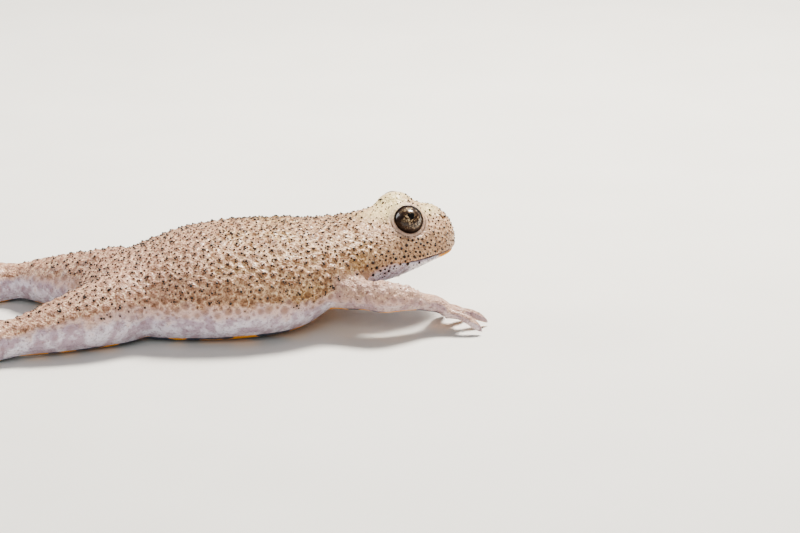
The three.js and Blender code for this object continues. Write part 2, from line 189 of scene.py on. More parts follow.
def noise_at(points, size):
    """Smooth noise between about -1 and 1, its lumps of about this size."""
    return np.array([noise.noise(Vector(place) / size) for place in points])


def store(piece, name, values):
    """Keeps one number for each point, for the materials to read."""
    layer = piece.data.attributes.new(name, "FLOAT", "POINT")
    layer.data.foreach_set("value", values.astype(np.float32))


# Places on the head and arms


class Eye:
    """Where one eye sits and looks, taken from its solid."""

    def __init__(self, node):
        low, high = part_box(node)
        self.node = node
        self.side = -1 if node.endswith("right") else 1
        self.centre = (low + high) / 2
        flat = math.cos(GAZE_RISE)
        self.gaze = Vector((0.05, self.side * flat, math.sin(GAZE_RISE))).normalized()
        self.across = Vector((0, 0, 1)).cross(self.gaze).normalized() * self.side
        self.up = self.gaze.cross(self.across).normalized() * self.side

    def polar(self, points):
        """Distance from the eye's centre and angle from the gaze in degrees, for each point."""
        away = points - np.array(self.centre)
        distance = np.linalg.norm(away, axis=1)
        cosine = away @ np.array(self.gaze) / np.maximum(distance, 1e-9)
        return distance, np.degrees(np.arccos(np.clip(cosine, -1, 1)))

    def cylinder(self, points):
        """Distance from the line of the gaze and along it, for each point."""
        away = points - np.array(self.centre)
        ahead = away @ np.array(self.gaze)
        return np.sqrt(np.maximum((away * away).sum(axis=1) - ahead * ahead, 0)), ahead


eyes = [Eye(node) for node in EYES]


def head_frame(points):
    """Places as seen from the head: along it from the snout back, and sideways."""
    away = points - np.array(SNOUT)
    ahead = np.array((math.cos(HEAD_TURN), math.sin(HEAD_TURN)))
    back = -(away[:, 0] * ahead[0] + away[:, 1] * ahead[1])
    side = away[:, 1] * ahead[0] - away[:, 0] * ahead[1]
    return back, side


def head_share(points):
    """1 on the head, 0 behind the neck and on the arms beside it."""
    back, side = head_frame(points)
    beside = step(np.abs(side), 9.2 * MM, 8.2 * MM) * step(points[:, 2], 3.2 * MM, 4.2 * MM)
    return step(back, 16 * MM, 12 * MM) * beside


def mouth_distance(points):
    """Height above the mouth line, and how deep the line is here: 1 in front, 0 behind the eye."""
    back, _ = head_frame(points)
    above = points[:, 2] - MOUTH_HEIGHT - 0.12 * MM * np.sin(back / MM * 0.55)
    depth = step(back, 11.5 * MM, 6.5 * MM)
    return above, depth


def below_head(points):
    """1 on the head's lower half, from the mouth line down, 0 elsewhere."""
    above, _ = mouth_distance(points)
    return head_share(points) * step(above, 0.05 * MM, -0.2 * MM)


def throat_share(points):
    """1 on the pale throat and lower lip, 0 on the warty cheek behind a slanting line."""
    above, _ = mouth_distance(points)
    back, _ = head_frame(points)
    slant = above + (back - 5.5 * MM) * 0.5
    return below_head(points) * step(slant, 0.4 * MM, -0.6 * MM)


def nostril_distance(points):
    """Distance from the nearer nostril, on top of the snout's front."""
    back, side = head_frame(points)
    high = points[:, 2] > MOUTH_HEIGHT + 2 * MM
    away = np.hypot(back - NOSTRIL_BACK, np.abs(side) - NOSTRIL_SIDE)
    return np.where(high, away, 1)


def arm_share(points):
    """1 on the arms and hands, fading out over the shoulders."""
    share = np.zeros(len(points))
    for name in ARM_NODES + HAND_NODES:
        low, high = box_rows(name)
        outside = np.max(np.maximum(low - points, points - high), axis=1)
        share = np.maximum(share, step(outside, 0.8 * MM, -0.8 * MM))
    return share


# Skin


def joined_solids():
    """Copies of all the flesh solids, swollen until they touch, as one closed mesh."""
    copies = []
    for name in FLESH:
        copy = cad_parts[name].copy()
        copy.data = copy.data.copy()
        copy.data.materials.clear()
        copy.parent = None
        for key in list(copy.keys()):
            del copy[key]
        bpy.context.scene.collection.objects.link(copy)
        copies.append(copy)
    only(*copies)
    bpy.ops.object.join()
    skin = bpy.context.object
    skin.name = skin.data.name = "toad_skin"
    bpy.ops.object.mode_set(mode="EDIT")
    bpy.ops.mesh.select_all(action="SELECT")
    bpy.ops.mesh.remove_doubles(threshold=0.002 * MM)
    bpy.ops.object.mode_set(mode="OBJECT")
    finish_with(skin, "DISPLACE", strength=GAP_CLOSED_BY, mid_level=0)
    finish_with(skin, "REMESH", mode="VOXEL", voxel_size=SKIN_VOXEL)
    return skin


def keep_largest(piece):
    """Drops whatever small closed bubble the joining left inside."""
    only(piece)
    bpy.ops.mesh.separate(type="LOOSE")
    parts = sorted(bpy.context.selected_objects, key=lambda part: len(part.data.vertices))
    name = piece.name
    kept = parts.pop()
    for part in parts:
        bpy.data.objects.remove(part)
    kept.name = kept.data.name = name
    return kept


def fine_places(points):
    """1 where the solids' own shape is kept, on digits and webs, and nearly 1 on the lids."""
    kept = np.zeros(len(points))
    for name in DIGIT_NODES:
        low, high = box_rows(name)
        inside = np.all((points > low - GAP_CLOSED_BY) & (points < high + GAP_CLOSED_BY), axis=1)
        kept[inside] = 1
    for eye in eyes:
        distance, angle = eye.polar(points)
        kept = np.maximum(kept, 0.9 * step(distance, 3 * MM, 2.6 * MM) * step(angle, 100, 85))
    return kept


def smooth(piece, rounds, weights):
    """Evens the surface, each point by its weight."""
    group = piece.vertex_groups.new(name="evened")
    for level in range(1, 11):
        members = np.nonzero(np.round(weights * 10) == level)[0]
        if len(members):
            group.add(members.tolist(), level / 10, "REPLACE")
    finish_with(piece, "SMOOTH", factor=0.5, iterations=rounds, vertex_group="evened")
    piece.vertex_groups.clear()


def pick_faces(piece, wanted):
    """Goes into edit mode with the faces between the wanted points selected."""
    only(piece)
    mesh = piece.data
    starts = np.empty(len(mesh.polygons), int)
    mesh.polygons.foreach_get("loop_start", starts)
    chosen = np.minimum.reduceat(wanted[corner_points_of(mesh)].astype(int), starts) > 0
    bpy.ops.object.mode_set(mode="EDIT")
    bpy.ops.mesh.select_mode(type="FACE")
    bpy.ops.mesh.select_all(action="DESELECT")
    bpy.ops.object.mode_set(mode="OBJECT")
    mesh.polygons.foreach_set("select", chosen)
    bpy.ops.object.mode_set(mode="EDIT")


def refine(piece, wanted):
    """Divides the faces between the wanted points once."""
    pick_faces(piece, wanted)
    bpy.ops.mesh.subdivide(number_cuts=1, smoothness=0)
    bpy.ops.object.mode_set(mode="OBJECT")


def coarsen(piece, wanted, share):
    """Leaves this share of the faces between the wanted points."""
    pick_faces(piece, wanted)
    bpy.ops.mesh.decimate(ratio=share)
    bpy.ops.object.mode_set(mode="OBJECT")


def spread_faces(skin):
    """Fewer faces beneath, more on the head and the near side, and most at mouth, nostrils and lids."""
    points, normals = points_of(skin)
    underside = (normals[:, 2] < -0.35) & (fine_places(points) < 0.1) & (below_head(points) < 0.5)
    coarsen(skin, underside, UNDERSIDE_SHARE)
    points, normals = points_of(skin)
    back, _ = head_frame(points)
    head = (back < 13.5 * MM) & (normals[:, 2] > -0.5)
    near_side = (points[:, 0] > TRUNK_LOW.x + 5 * MM) & (normals[:, 2] > -0.1) & (normals[:, 1] < 0.15)
    refine(skin, head | near_side)
    points, _ = points_of(skin)
    smooth(skin, 2, 1 - 0.7 * fine_places(points))
    points, _ = points_of(skin)
    above, depth = mouth_distance(points)
    at_face = (np.abs(above) < 0.4 * MM) & (depth > 0)
    at_face |= nostril_distance(points) < 0.8 * MM
    for eye in eyes:
        distance, angle = eye.polar(points)
        at_face |= (distance < 3 * MM) & (angle > LID_EDGE - 6) & (angle < LID_EDGE + 24)
    refine(skin, at_face)


def mark_sides(skin):
    """Stores where the pale low side, the belly and the arms are, for the colours."""
    points, normals = points_of(skin)
    low = step(points[:, 2], LOW_SIDE_TOP, LOW_SIDE_TOP - LOW_SIDE_DEPTH) * step(normals[:, 2], 0.75, 0.25)
    store(skin, "under", np.maximum(step(normals[:, 2], 0.05, -0.6) * 0.9, low * 0.8))
    store(skin, "beneath", step(normals[:, 2], -0.7, -0.92) * (1 - below_head(points)))
    store(skin, "arm", arm_share(points) * (1 - head_share(points)))


def mouth_relief(points):
    """The mouth line between two lips: how far out the skin goes, and the line's share."""
    above, depth = mouth_distance(points)
    line = ridge(above, 0, MOUTH_LINE_WIDTH) * depth
    lip = ridge(np.abs(above), LIP_PLACE, LIP_WIDTH) * depth
    return LIP_SWELL * lip - MOUTH_LINE_DEPTH * line, line


def nostril_relief(points):
    """A pit with a raised rim at each nostril: how far out the skin goes, and the pit's share."""
    away = nostril_distance(points)
    pit = ridge(away, 0, NOSTRIL_WIDTH)
    rim = ridge(away, NOSTRIL_RIM_PLACE, NOSTRIL_RIM_WIDTH)
    return NOSTRIL_RIM_SWELL * rim - NOSTRIL_DEPTH * pit, pit


def shape_lids(points, normals, eye):
    """Lays the lids' edge on the eyeball, with folds round it; returns points, lids and the painted shade
    along the lid edge and in the creases.
    """
    distance, angle = eye.polar(points)
    lower = step((points[:, 2] - eye.centre.z) / MM, 1.4, -0.4)
    close = step(distance, 3.2 * MM, 2.6 * MM)
    edge = step(angle, LID_EDGE + 14, LID_EDGE + 5) * close * (distance > EYEBALL_RADIUS + 0.2 * MM)
    away = (points - np.array(eye.centre)) / distance[:, None]
    lying = np.array(eye.centre) + away * (EYEBALL_RADIUS + LID_OFF_EYE)
    points = points + (lying - points) * edge[:, None]
    # Beyond the edge run a roll, a crease, a faint fold and a faint outer crease, deepest below the eye
    out, ahead = eye.cylinder(points)
    near = step(ahead, -1 * MM, -0.5 * MM) * step(distance, 3.6 * MM, 3.2 * MM)
    roll, crease, fold, outer = (
        ridge(out, place * MM, width * MM) * near * lower for place, width in LID_FOLDS
    )
    points = points + normals * (0.12 * roll - 0.2 * crease + 0.1 * fold - 0.1 * outer)[:, None] * MM
    lid = step(out, 2.75 * MM, 2.55 * MM) * near * (0.4 + 0.6 * lower)
    # Painted shade: dark along the lid's edge, most above the eye, and in the creases round it
    upper_rim = step(angle, LID_EDGE + 9, LID_EDGE + 2) * close * (1 - 0.6 * lower)
    return points, lid, np.maximum(upper_rim, 0.7 * crease + 0.4 * outer)


def carve_face(skin):
    """Mouth line with its lips, nostrils, lids and the folds round the eyes; stores painted shade for the
    line, the pits and the creases.
    """
    points, normals = points_of(skin)
    above, _ = mouth_distance(points)
    mouth_out, line = mouth_relief(points)
    nostril_out, pit = nostril_relief(points)
    points = points + normals * (mouth_out + nostril_out)[:, None]
    lids = np.zeros(len(points))
    creases = np.zeros(len(points))
    for eye in eyes:
        points, lid, dark = shape_lids(points, normals, eye)
        lids = np.maximum(lids, lid)
        creases = np.maximum(creases, dark)
    move_points(skin, points)
    # Painted shade: the mouth line, the nostril pits and the lids' creases darkened
    store(skin, "slit_shade", np.clip(np.maximum(line + pit, creases), 0, 1))
    store(skin, "lid", lids)
    back, _ = head_frame(points)
    throat = np.maximum(throat_share(points), below_head(points) * step(normals[:, 2], -0.45, -0.75))
    store(skin, "throat", throat)
    store(skin, "gold_lip", throat * step(back, 4.4 * MM, 3.4 * MM) * step(above, -1.3 * MM, -0.7 * MM))


def make_skin():
    """The whole skin from the joined solids to its last wart, and where its warts are."""
    skin = keep_largest(joined_solids())
    points, _ = points_of(skin)
    smooth(skin, SMOOTHING_ROUNDS, 1 - fine_places(points))
    finish_with(skin, "DISPLACE", strength=-GAP_CLOSED_BY, mid_level=0)
    spread_faces(skin)
    mark_sides(skin)
    carve_face(skin)
    warts = raise_warts(skin)
    points, _ = points_of(skin)
    points[:, 2] = np.maximum(points[:, 2], 0)
    move_points(skin, points)
    shade_smooth(skin)
    return skin, warts


# Warts


def wart_room(points, normals):
    """How tall warts may be at each point: full on the upper side, least on lids, lips and digits."""
    back, _ = head_frame(points)
    head = head_share(points)
    room = step(normals[:, 2] + 0.45 * head, -0.35, 0.15)
    for name in DIGIT_NODES:
        low, high = box_rows(name)
        inside = np.all((points > low) & (points < high + 0.3 * MM), axis=1)
        room[inside] *= 0.15
    for eye in eyes:
        distance, angle = eye.polar(points)
        room *= 1 - step(distance, 3.3 * MM, 2.9 * MM) * (1 - 0.6 * step(angle, 85, 105))
    above, _ = mouth_distance(points)
    room *= 1 - 0.9 * throat_share(points)
    room *= np.where(back < 7 * MM, step(np.abs(above), 0.4 * MM, 0.9 * MM), 1)
    snout = step(back, 1 * MM, 5 * MM)
    limb = step(points[:, 0], TRUNK_LOW.x + 3 * MM, TRUNK_LOW.x - 3 * MM)
    return room * (1 - 0.4 * head) * (0.4 + 0.6 * snout) * (1 - 0.35 * limb)


def wart_gap(points):
    """Distance between neighbouring warts: closest on the head."""
    return (WART_GAP - HEAD_GAP_CUT * head_share(points)) * MM


def scatter(points, gaps, allowed):
    """Picks points at random that keep their distance from one another."""
    cell = 0.8 * MM
    reach = range(-2, 3)
    keys = np.floor(points / cell).astype(int)
    taken = {}
    picked = []
    for i in draw.permutation(np.nonzero(allowed)[0]):
        x, y, z = keys[i]
        gap = gaps[i]
        near = (
            other
            for dx in reach
            for dy in reach
            for dz in reach
            for other in taken.get((x + dx, y + dy, z + dz), ())
        )
        if all(np.dot(points[i] - points[j], points[i] - points[j]) > gap * gap for j in near):
            taken.setdefault((x, y, z), []).append(i)
            picked.append(i)
    return np.array(picked)


def search_tree(points):
    tree = KDTree(len(points))
    for i, place in enumerate(points):
        tree.insert(place, i)
    tree.balance()
    return tree


def choose_warts(points, room, tree):
    """Which points carry warts, and the warts' radii: small ones fill what large ones leave."""
    vary = draw.uniform(0.8, 1.2, len(points))
    free = room > LEAST_WART_ROOM
    large = scatter(points, wart_gap(points) * vary, free)
    large_radii = wart_gap(points)[large] * vary[large] * LARGE_WART_SHARE
    for i, radius in zip(large, large_radii):
        for _, j, _ in tree.find_range(points[i], radius * 1.15):
            free[j] = False
    small = scatter(points, np.full(len(points), SMALL_WART_GAP), free)
    small_radii = draw.uniform(*SMALL_WART_RADII, len(small)) * MM
    return np.concatenate((large, small)), np.concatenate((large_radii, small_radii))


def raise_warts(skin):
    """Pushes warts out of the skin and returns their places, normals and radii."""
    points, normals = points_of(skin)
    room = wart_room(points, normals)
    tree = search_tree(points)
    centres, radii = choose_warts(points, room, tree)
    ragged = noise_at(points, RAGGED_SIZE)
    raised = np.zeros(len(points))
    dome = np.zeros(len(points))
    for i, radius in zip(centres, radii):
        height = room[i] * draw.uniform(0.55, 1.15) * min(1, radius / FULL_WART_RADIUS)
        for _, j, away in tree.find_range(points[i], radius * 1.2):
            share = away / radius * (1 + 0.35 * ragged[j])
            profile = max(0, 1 - share**2) ** 1.2
            raised[j] = max(raised[j], height * profile)
            dome[j] = max(dome[j], profile)
    lumps = noise_at(points, LUMP_SIZE) * LUMP_HEIGHT * (room > 0)
    points += normals * (raised * WART_HEIGHT + lumps)[:, None]
    move_points(skin, points)
    store(skin, "wart", dome * step(room, 0.02, 0.2))
    return points[centres], normals[centres], radii


# Wart spines


def spine_form():
    """One horny wart spine of unit size, its foot below the skin."""
    bpy.ops.object.select_all(action="DESELECT")
    bpy.ops.mesh.primitive_cone_add(
        vertices=6, radius1=1, radius2=0.72, depth=0.7, end_fill_type="NGON", location=(0, 0, -0.15)
    )
    form = bpy.context.object
    bpy.ops.object.mode_set(mode="EDIT")
    bpy.ops.mesh.select_mode(type="FACE")
    bpy.ops.mesh.select_all(action="DESELECT")
    bpy.ops.object.mode_set(mode="OBJECT")
    top = max(form.data.polygons, key=lambda face: face.center.z)
    top.select = True
    bpy.ops.object.mode_set(mode="EDIT")
    bpy.ops.mesh.extrude_region_move(TRANSFORM_OT_translate={"value": (0, 0, 0.42)})
    bpy.ops.transform.resize(value=(0.45, 0.45, 1), center_override=(0, 0, 0))
    bpy.ops.mesh.poke(offset=0.12)
    bpy.ops.object.mode_set(mode="OBJECT")
    bpy.ops.object.transform_apply(location=True, rotation=True, scale=True)
    return form


def spine_share(place, normal, on_head):
    """How many of the warts here carry a spine."""
    if on_head:
        return step(normal[2], -0.75, -0.4) * (1 - 0.4 * step(normal[2], 0.6, 0.85))
    return 0.95 * step(place[2], 4.5 * MM, 8 * MM)


def choose_spines(places, normals, radii):
    """Places and radii of the spines: one on most warts of the upper side, small ones beside it."""
    back, _ = head_frame(places)
    arms = [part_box(name) for name in ARM_NODES]
    chosen = []
    for place, normal, radius, behind, head in zip(places, normals, radii, back, head_share(places)):
        on_head = head > 0.5
        large = radius > LARGE_WART_RADIUS
        beside = draw.integers(0, 2) if on_head else draw.integers(1, 5)
        size = draw.uniform(*(LARGE_WART_SPINE if large else SMALL_WART_SPINE))
        shown = spine_share(place, normal, on_head)
        if on_head and behind > 4.5 * MM and abs(normal[2]) < 0.5:
            size *= 1.25  # the cheeks have the largest
        if any(all(low[i] < place[i] < high[i] for i in range(3)) for low, high in arms):
            shown, size, beside = 0.35, size * 0.6, 0
        if draw.random() > shown:
            continue
        chosen.append((place, size * MM))
        side = Vector(normal).orthogonal().normalized()
        for _ in range(beside if large else 0):
            turned = Matrix.Rotation(draw.uniform(0, 2 * math.pi), 3, Vector(normal)) @ side
            nearby = Vector(place) + turned * radius * draw.uniform(0.35, 0.8)
            chosen.append((nearby, draw.uniform(*SIDE_SPINE) * MM))
    return chosen


def make_spines(skin, warts):
    """All the spines as one mesh, each standing on the skin."""
    surface = BVHTree.FromObject(skin, bpy.context.evaluated_depsgraph_get())
    chosen = choose_spines(*warts)
    form = spine_form()
    unit, _ = points_of(form)
    form_faces = [tuple(face.vertices) for face in form.data.polygons]
    bpy.data.objects.remove(form)
    points, faces, roots = [], [], []
    for place, size in chosen:
        at, normal, _, _ = surface.find_nearest(place)
        turn = np.array(normal.to_track_quat("Z", "Y").to_matrix())
        first = len(points) * len(unit)
        points.append(np.array(at) + (unit * size) @ turn.T)
        faces += [tuple(first + corner for corner in face) for face in form_faces]
        roots.append(at)
    mesh = bpy.data.meshes.new("wart_spines")
    mesh.from_pydata(np.concatenate(points).tolist(), [], faces)
    mesh.update()
    spines = bpy.data.objects.new("wart_spines", mesh)
    bpy.context.scene.collection.objects.link(spines)
    bake_patches(spines, roots, len(unit))
    shade_smooth(spines)
    return spines


BAKE_PATCH = 0.003  # width of one spine's patch in its map
PATCH_REACH = 0.3 * MM  # a spine's greatest radius, about
PLAN_CORNER = (0.01, 0.3)  # where the plan's lowest corner lies in the map
PLAN_SHARE = 0.98  # of the map that the model's length takes


def bake_patches(piece, roots, points_each):
    """A small patch for each spine, at its root's place in the skin's plan."""
    low, high = cad_bounds
    span = max(high - low)
    layer = piece.data.uv_layers.new(name="OFBake")
    corners = corner_points_of(piece.data)
    points, _ = points_of(piece)
    root = np.array(roots)[corners // points_each]
    away = points[corners] - root
    uv = np.empty((len(corners), 2))
    for axis in (0, 1):
        plan = PLAN_CORNER[axis] + PLAN_SHARE * (root[:, axis] - low[axis]) / span
        uv[:, axis] = plan + away[:, axis] / PATCH_REACH * BAKE_PATCH / 2
    layer.data.foreach_set("uv", uv.astype(np.float32).ravel())


# Materials


def linear(red, green, blue):
    """A colour given in screen values, as the shader wants it."""
    shares = (value / 255 for value in (red, green, blue))
    return (*(v / 12.92 if v <= 0.04045 else ((v + 0.055) / 1.055) ** 2.4 for v in shares), 1)


# Colours of the upper side
DARK_TAN = linear(150, 112, 78)
LIGHT_TAN = linear(204, 168, 132)
REAR_TAN = linear(194, 152, 134)
HEAD_TAN = linear(214, 176, 142)
OCHRE = linear(158, 124, 52)
WART_BROWN = linear(98, 62, 38)
WART_RIM = linear(226, 198, 164)
FLECK_BROWN = linear(86, 56, 38)
PEPPER_BROWN = linear(122, 84, 58)
SPECK_BROWN = linear(50, 32, 24)
# Partly the head's own cream and partly a painted sunlit highlight
CREAM_AND_SUNLIT_HIGHLIGHT = linear(238, 222, 164)

# Colours of the low side and the arms
MAUVE = linear(204, 174, 164)
MAUVE_WART = linear(142, 106, 88)
LAVENDER = linear(212, 204, 212)
DARK_LAVENDER = linear(172, 152, 162)
LAVENDER_WART = linear(150, 122, 124)
LOW_FLECK = linear(118, 94, 96)
ARM_PINK = linear(196, 164, 150)
ARM_MAUVE = linear(168, 138, 134)
ARM_FLECK = linear(112, 80, 68)

# Colours of the belly, the throat and the face
BELLY_ORANGE = linear(232, 158, 30)
SLATE = linear(60, 72, 96)
DARK_SLATE = linear(30, 34, 46)
THROAT_WHITE = linear(226, 222, 230)
THROAT_LAVENDER = linear(190, 180, 198)
THROAT_BROWN = linear(120, 96, 92)
THROAT_FLECK = linear(48, 38, 46)
THROAT_DOT = linear(40, 32, 42)
LIP_GOLD = linear(220, 150, 32)
LID_PINK = linear(214, 186, 170)
# Painted shade in the mouth line, the nostril pits and the creases round the eyes
CREASE_SHADE = linear(40, 26, 19)

# Colours of the spines and the eyes
SPINE_BLACK = linear(24, 17, 14)
SPINE_BROWN = linear(70, 48, 36)
DARK_BRONZE = linear(118, 92, 66)
LIGHT_BRONZE = linear(192, 168, 134)
VEIN_BROWN = linear(34, 23, 17)
MARBLE_BROWN = linear(46, 31, 22)
PATCH_BROWN = linear(40, 26, 18)
# Painted shade over one side of the iris
IRIS_SIDE_SHADE = linear(36, 22, 15)
IRIS_RIM = linear(34, 22, 16)
PUPIL_BLACK = linear(8, 6, 5)

# Colours of the floor
FLOOR_GREY = linear(214, 212, 206)
FLOOR_PALE = linear(222, 220, 214)


class Value:
    """A socket of a finish; arithmetic on it adds Math nodes."""

    def __init__(self, finish, socket):
        self.finish = finish
        self.socket = socket

    def _with(self, operation, *values):
        return self.finish.node("ShaderNodeMath", {"operation": operation}, dict(enumerate(values)))

    def __add__(self, other):
        return self._with("ADD", self, other)

    def __sub__(self, other):
        return self._with("SUBTRACT", self, other)

    def __rsub__(self, other):
        return self._with("SUBTRACT", other, self)

    def __mul__(self, other):
        return self._with("MULTIPLY", self, other)

    def __truediv__(self, other):
        return self._with("DIVIDE", self, other)

    def __pow__(self, other):
        return self._with("POWER", self, other)

    __radd__ = __add__
    __rmul__ = __mul__

    def greater(self, other):
        return self._with("MAXIMUM", self, other)

    def between(self, low, high):
        """0 at low and 1 at high, smooth between."""
        settings = {"interpolation_type": "SMOOTHSTEP"}
        inputs = {"Value": self, "From Min": low, "From Max": high}
        return self.finish.node("ShaderNodeMapRange", settings, inputs)


class Finish:
    """A material in the making."""

    def __init__(self, name, **constants):
        self.material = bpy.data.materials.new(name)
        self.material.use_nodes = True
        self.tree = self.material.node_tree
        self.shader = self.tree.nodes["Principled BSDF"]
        self.set(**constants)
        self.place = self.node("ShaderNodeTexCoord", {}, {}, "Object")

    def node(self, kind, settings, inputs, output=0):
        """Adds a node, sets it, fills or links its sockets and returns one of its outputs."""
        made = self.tree.nodes.new(kind)
        for name, value in settings.items():
            setattr(made, name, value)
        for socket, value in inputs.items():
            self.fill(made.inputs[socket], value)
        return Value(self, made.outputs[output])

    def fill(self, socket, value):
        if isinstance(value, Value):
            self.tree.links.new(value.socket, socket)
        else:
            socket.default_value = value

    def set(self, **values):
        """Fills or links the shader's own sockets."""
        for socket, value in values.items():
            self.fill(self.shader.inputs[socket.replace("_", " ")], value)

    def mix(self, first, second, share):
        """Two colours by a share: a Mix node's sockets 6 and 7 are its colours, 0 its factor."""
        settings = {"data_type": "RGBA"}
        return self.node("ShaderNodeMix", settings, {0: share, 6: first, 7: second}, 2)

    def noise(self, size, detail=3, rough=0.5):
        """Noise between 0 and 1, its lumps of about this size."""
        inputs = {"Vector": self.place, "Scale": 1 / size, "Detail": detail, "Roughness": rough}
        return self.node("ShaderNodeTexNoise", {}, inputs)

    def cells(self, size, feature="F1"):
        """Distance from the middles of cells of this size, or from their edges."""
        inputs = {"Vector": self.place, "Scale": 1 / size}
        return self.node("ShaderNodeTexVoronoi", {"feature": feature}, inputs, "Distance")

    def stored(self, name):
        return self.node("ShaderNodeAttribute", {"attribute_name": name}, {}, "Fac")

    def bump(self, height, depth, under=None, strength=1):
        """A height as a change of the normal, over an earlier bump where one is given."""
        inputs = {"Height": height, "Distance": depth, "Strength": strength}
        if under:
            inputs["Normal"] = under
        return self.node("ShaderNodeBump", {}, inputs)

    def axis(self, name):
        return self.node("ShaderNodeSeparateXYZ", {}, {0: self.place}, name)


class SkinFinish(Finish):
    """The toad's skin: its markings come from the shares stored on it and from noises of three sizes."""

    def __init__(self):
        super().__init__(
            "toad_skin_finish",
            Coat_Roughness=0.16,
            Subsurface_Weight=0.06,
            Subsurface_Scale=0.3 * MM,
            Subsurface_Radius=(1, 0.45, 0.3),
            Specular_IOR_Level=0.45,
        )
        self.wart = self.stored("wart")
        self.throat = self.stored("throat")
        self.lid = self.stored("lid")
        self.broad = self.noise(6 * MM, 3)
        self.middle = self.noise(1.8 * MM, 4, 0.6)
        self.fine = self.noise(0.42 * MM, 4, 0.7)
        x = self.axis("X")
        self.rear = x.between(TRUNK_HIGH.x - 10 * MM, TRUNK_LOW.x + 6 * MM)
        self.on_head = x.between(HEAD_LOW.x - 1 * MM, HEAD_LOW.x + 5 * MM)
        wet = self.noise(3 * MM, 2)
        self.set(
            Base_Color=self.colour(),
            Roughness=0.4 + self.fine * 0.25,
            Coat_Weight=0.08 + wet.between(0.45, 0.7) * 0.3,
            Normal=self.relief(),
        )

    def colour(self):
        """All the skin's colours, from the back over the low side to the face."""
        under = self.stored("under") + (self.middle - 0.5) * 0.8 + (self.broad - 0.5) * 0.6
        colour = self.mix(self.back(), self.low_side(under), under.between(0.15, 0.45))
        colour = self.mix(colour, self.arm(), self.stored("arm") * 0.65)
        beneath = self.stored("beneath") + (self.middle - 0.5) * 0.4
        colour = self.mix(colour, self.belly(), beneath.between(0.5, 0.6) * (1 - self.throat))
        on_chin = (self.throat + (self.middle - 0.5) * 0.9).between(0.2, 0.8)
        colour = self.mix(colour, self.chin(), on_chin)
        colour = self.mix(colour, LIP_GOLD, self.stored("gold_lip"))
        colour = self.mix(colour, LID_PINK, self.lid * 0.55)
        # Painted shade darkens the mouth line, the nostril pits and the creases round the eyes
        return self.mix(colour, CREASE_SHADE, self.stored("slit_shade").between(0.05, 0.75) * 0.92)

    def back(self):
        """Tan with brown warts in pale rims, ochre by the shoulder, pinkish behind, speckled all over, and
        cream with a painted sunlit highlight on top of the head.
        """
        wart, fine, on_head = self.wart, self.fine, self.on_head
        back = self.mix(DARK_TAN, LIGHT_TAN, self.middle.between(0.36, 0.64))
        back = self.mix(back, REAR_TAN, self.rear * 0.7)
        ochre = self.broad.between(0.5, 0.64) * 0.6 * (1 - self.rear) * (1 - on_head * 0.6)
        back = self.mix(back, OCHRE, ochre)
        back = self.mix(back, HEAD_TAN, on_head * 0.7)
        brown = wart.between(0.3, 0.85) * fine.between(0.36, 0.6)
        back = self.mix(back, WART_BROWN, brown * (0.85 - on_head * 0.45))
        rims = wart.between(0, 0.15) * (1 - wart.between(0.2, 0.5)) * fine.between(0.6, 0.4)
        back = self.mix(back, WART_RIM, rims * (0.8 - on_head * 0.4))
        back = self.mix(back, FLECK_BROWN, fine.between(0.53, 0.64) * 0.7)
        pepper = self.noise(0.26 * MM, 2).between(0.5, 0.58)
        back = self.mix(back, PEPPER_BROWN, pepper * 0.6)
        specks = (1 - self.cells(0.36 * MM).between(0.12, 0.26)) * self.middle.between(0.42, 0.58)
        back = self.mix(back, SPECK_BROWN, specks * 0.75)
        # Cream skin on top of the head, lightened further by a painted sunlit highlight
        return self.mix(back, CREAM_AND_SUNLIT_HIGHLIGHT, self.cream_and_highlight_share() * 0.65)

    def cream_and_highlight_share(self):
        """1 on top of the head, between the eyes and on the left one's swelling, where the cream is partly
        the skin's own and partly a painted sunlit highlight.
        """
        high = self.axis("Z").between(HEAD_HIGH.z - 2.8 * MM, HEAD_HIGH.z - 1.2 * MM)
        inward = self.axis("Y").between(SNOUT.y - 6 * MM, SNOUT.y - 3 * MM)
        return high * self.on_head * inward * self.broad.between(0.3, 0.5)

    def low_side(self, under):
        """Mauve with soft brown warts, and pale lavender below it."""
        soft_wart = self.wart + (self.middle - 0.5) * 1.3
        mauve = self.mix(MAUVE, MAUVE_WART, soft_wart.between(0.25, 1.1) * 0.8)
        lavender = self.mix(LAVENDER, DARK_LAVENDER, self.middle.between(0.4, 0.6))
        lavender = self.mix(lavender, LAVENDER_WART, soft_wart.between(0.3, 1.1) * 0.6)
        low_side = self.mix(mauve, lavender, under.between(0.42, 0.72))
        return self.mix(low_side, LOW_FLECK, self.fine.between(0.53, 0.66) * 0.6)

    def arm(self):
        """Pinkish mauve with fine flecks."""
        arm = self.mix(ARM_PINK, ARM_MAUVE, self.middle.between(0.4, 0.6))
        return self.mix(arm, ARM_FLECK, self.fine.between(0.52, 0.64) * 0.6)

    def belly(self):
        """Orange broken by slate, unseen in the pose but for its edge."""
        slate = self.mix(SLATE, DARK_SLATE, self.middle)
        return self.mix(BELLY_ORANGE, slate, self.noise(4.2 * MM, 2, 0.45).between(0.5, 0.53))

    def chin(self):
        """Lavender white with dark dots, on the throat and the lower lip."""
        chin = self.mix(THROAT_WHITE, THROAT_LAVENDER, self.broad.between(0.42, 0.6))
        chin = self.mix(chin, THROAT_BROWN, self.middle.between(0.5, 0.66) * 0.5)
        chin = self.mix(chin, THROAT_FLECK, self.fine.between(0.53, 0.61) * 0.85)
        dots = 1 - self.cells(0.62 * MM).between(0.16, 0.24)
        return self.mix(chin, THROAT_DOT, dots * 0.85)

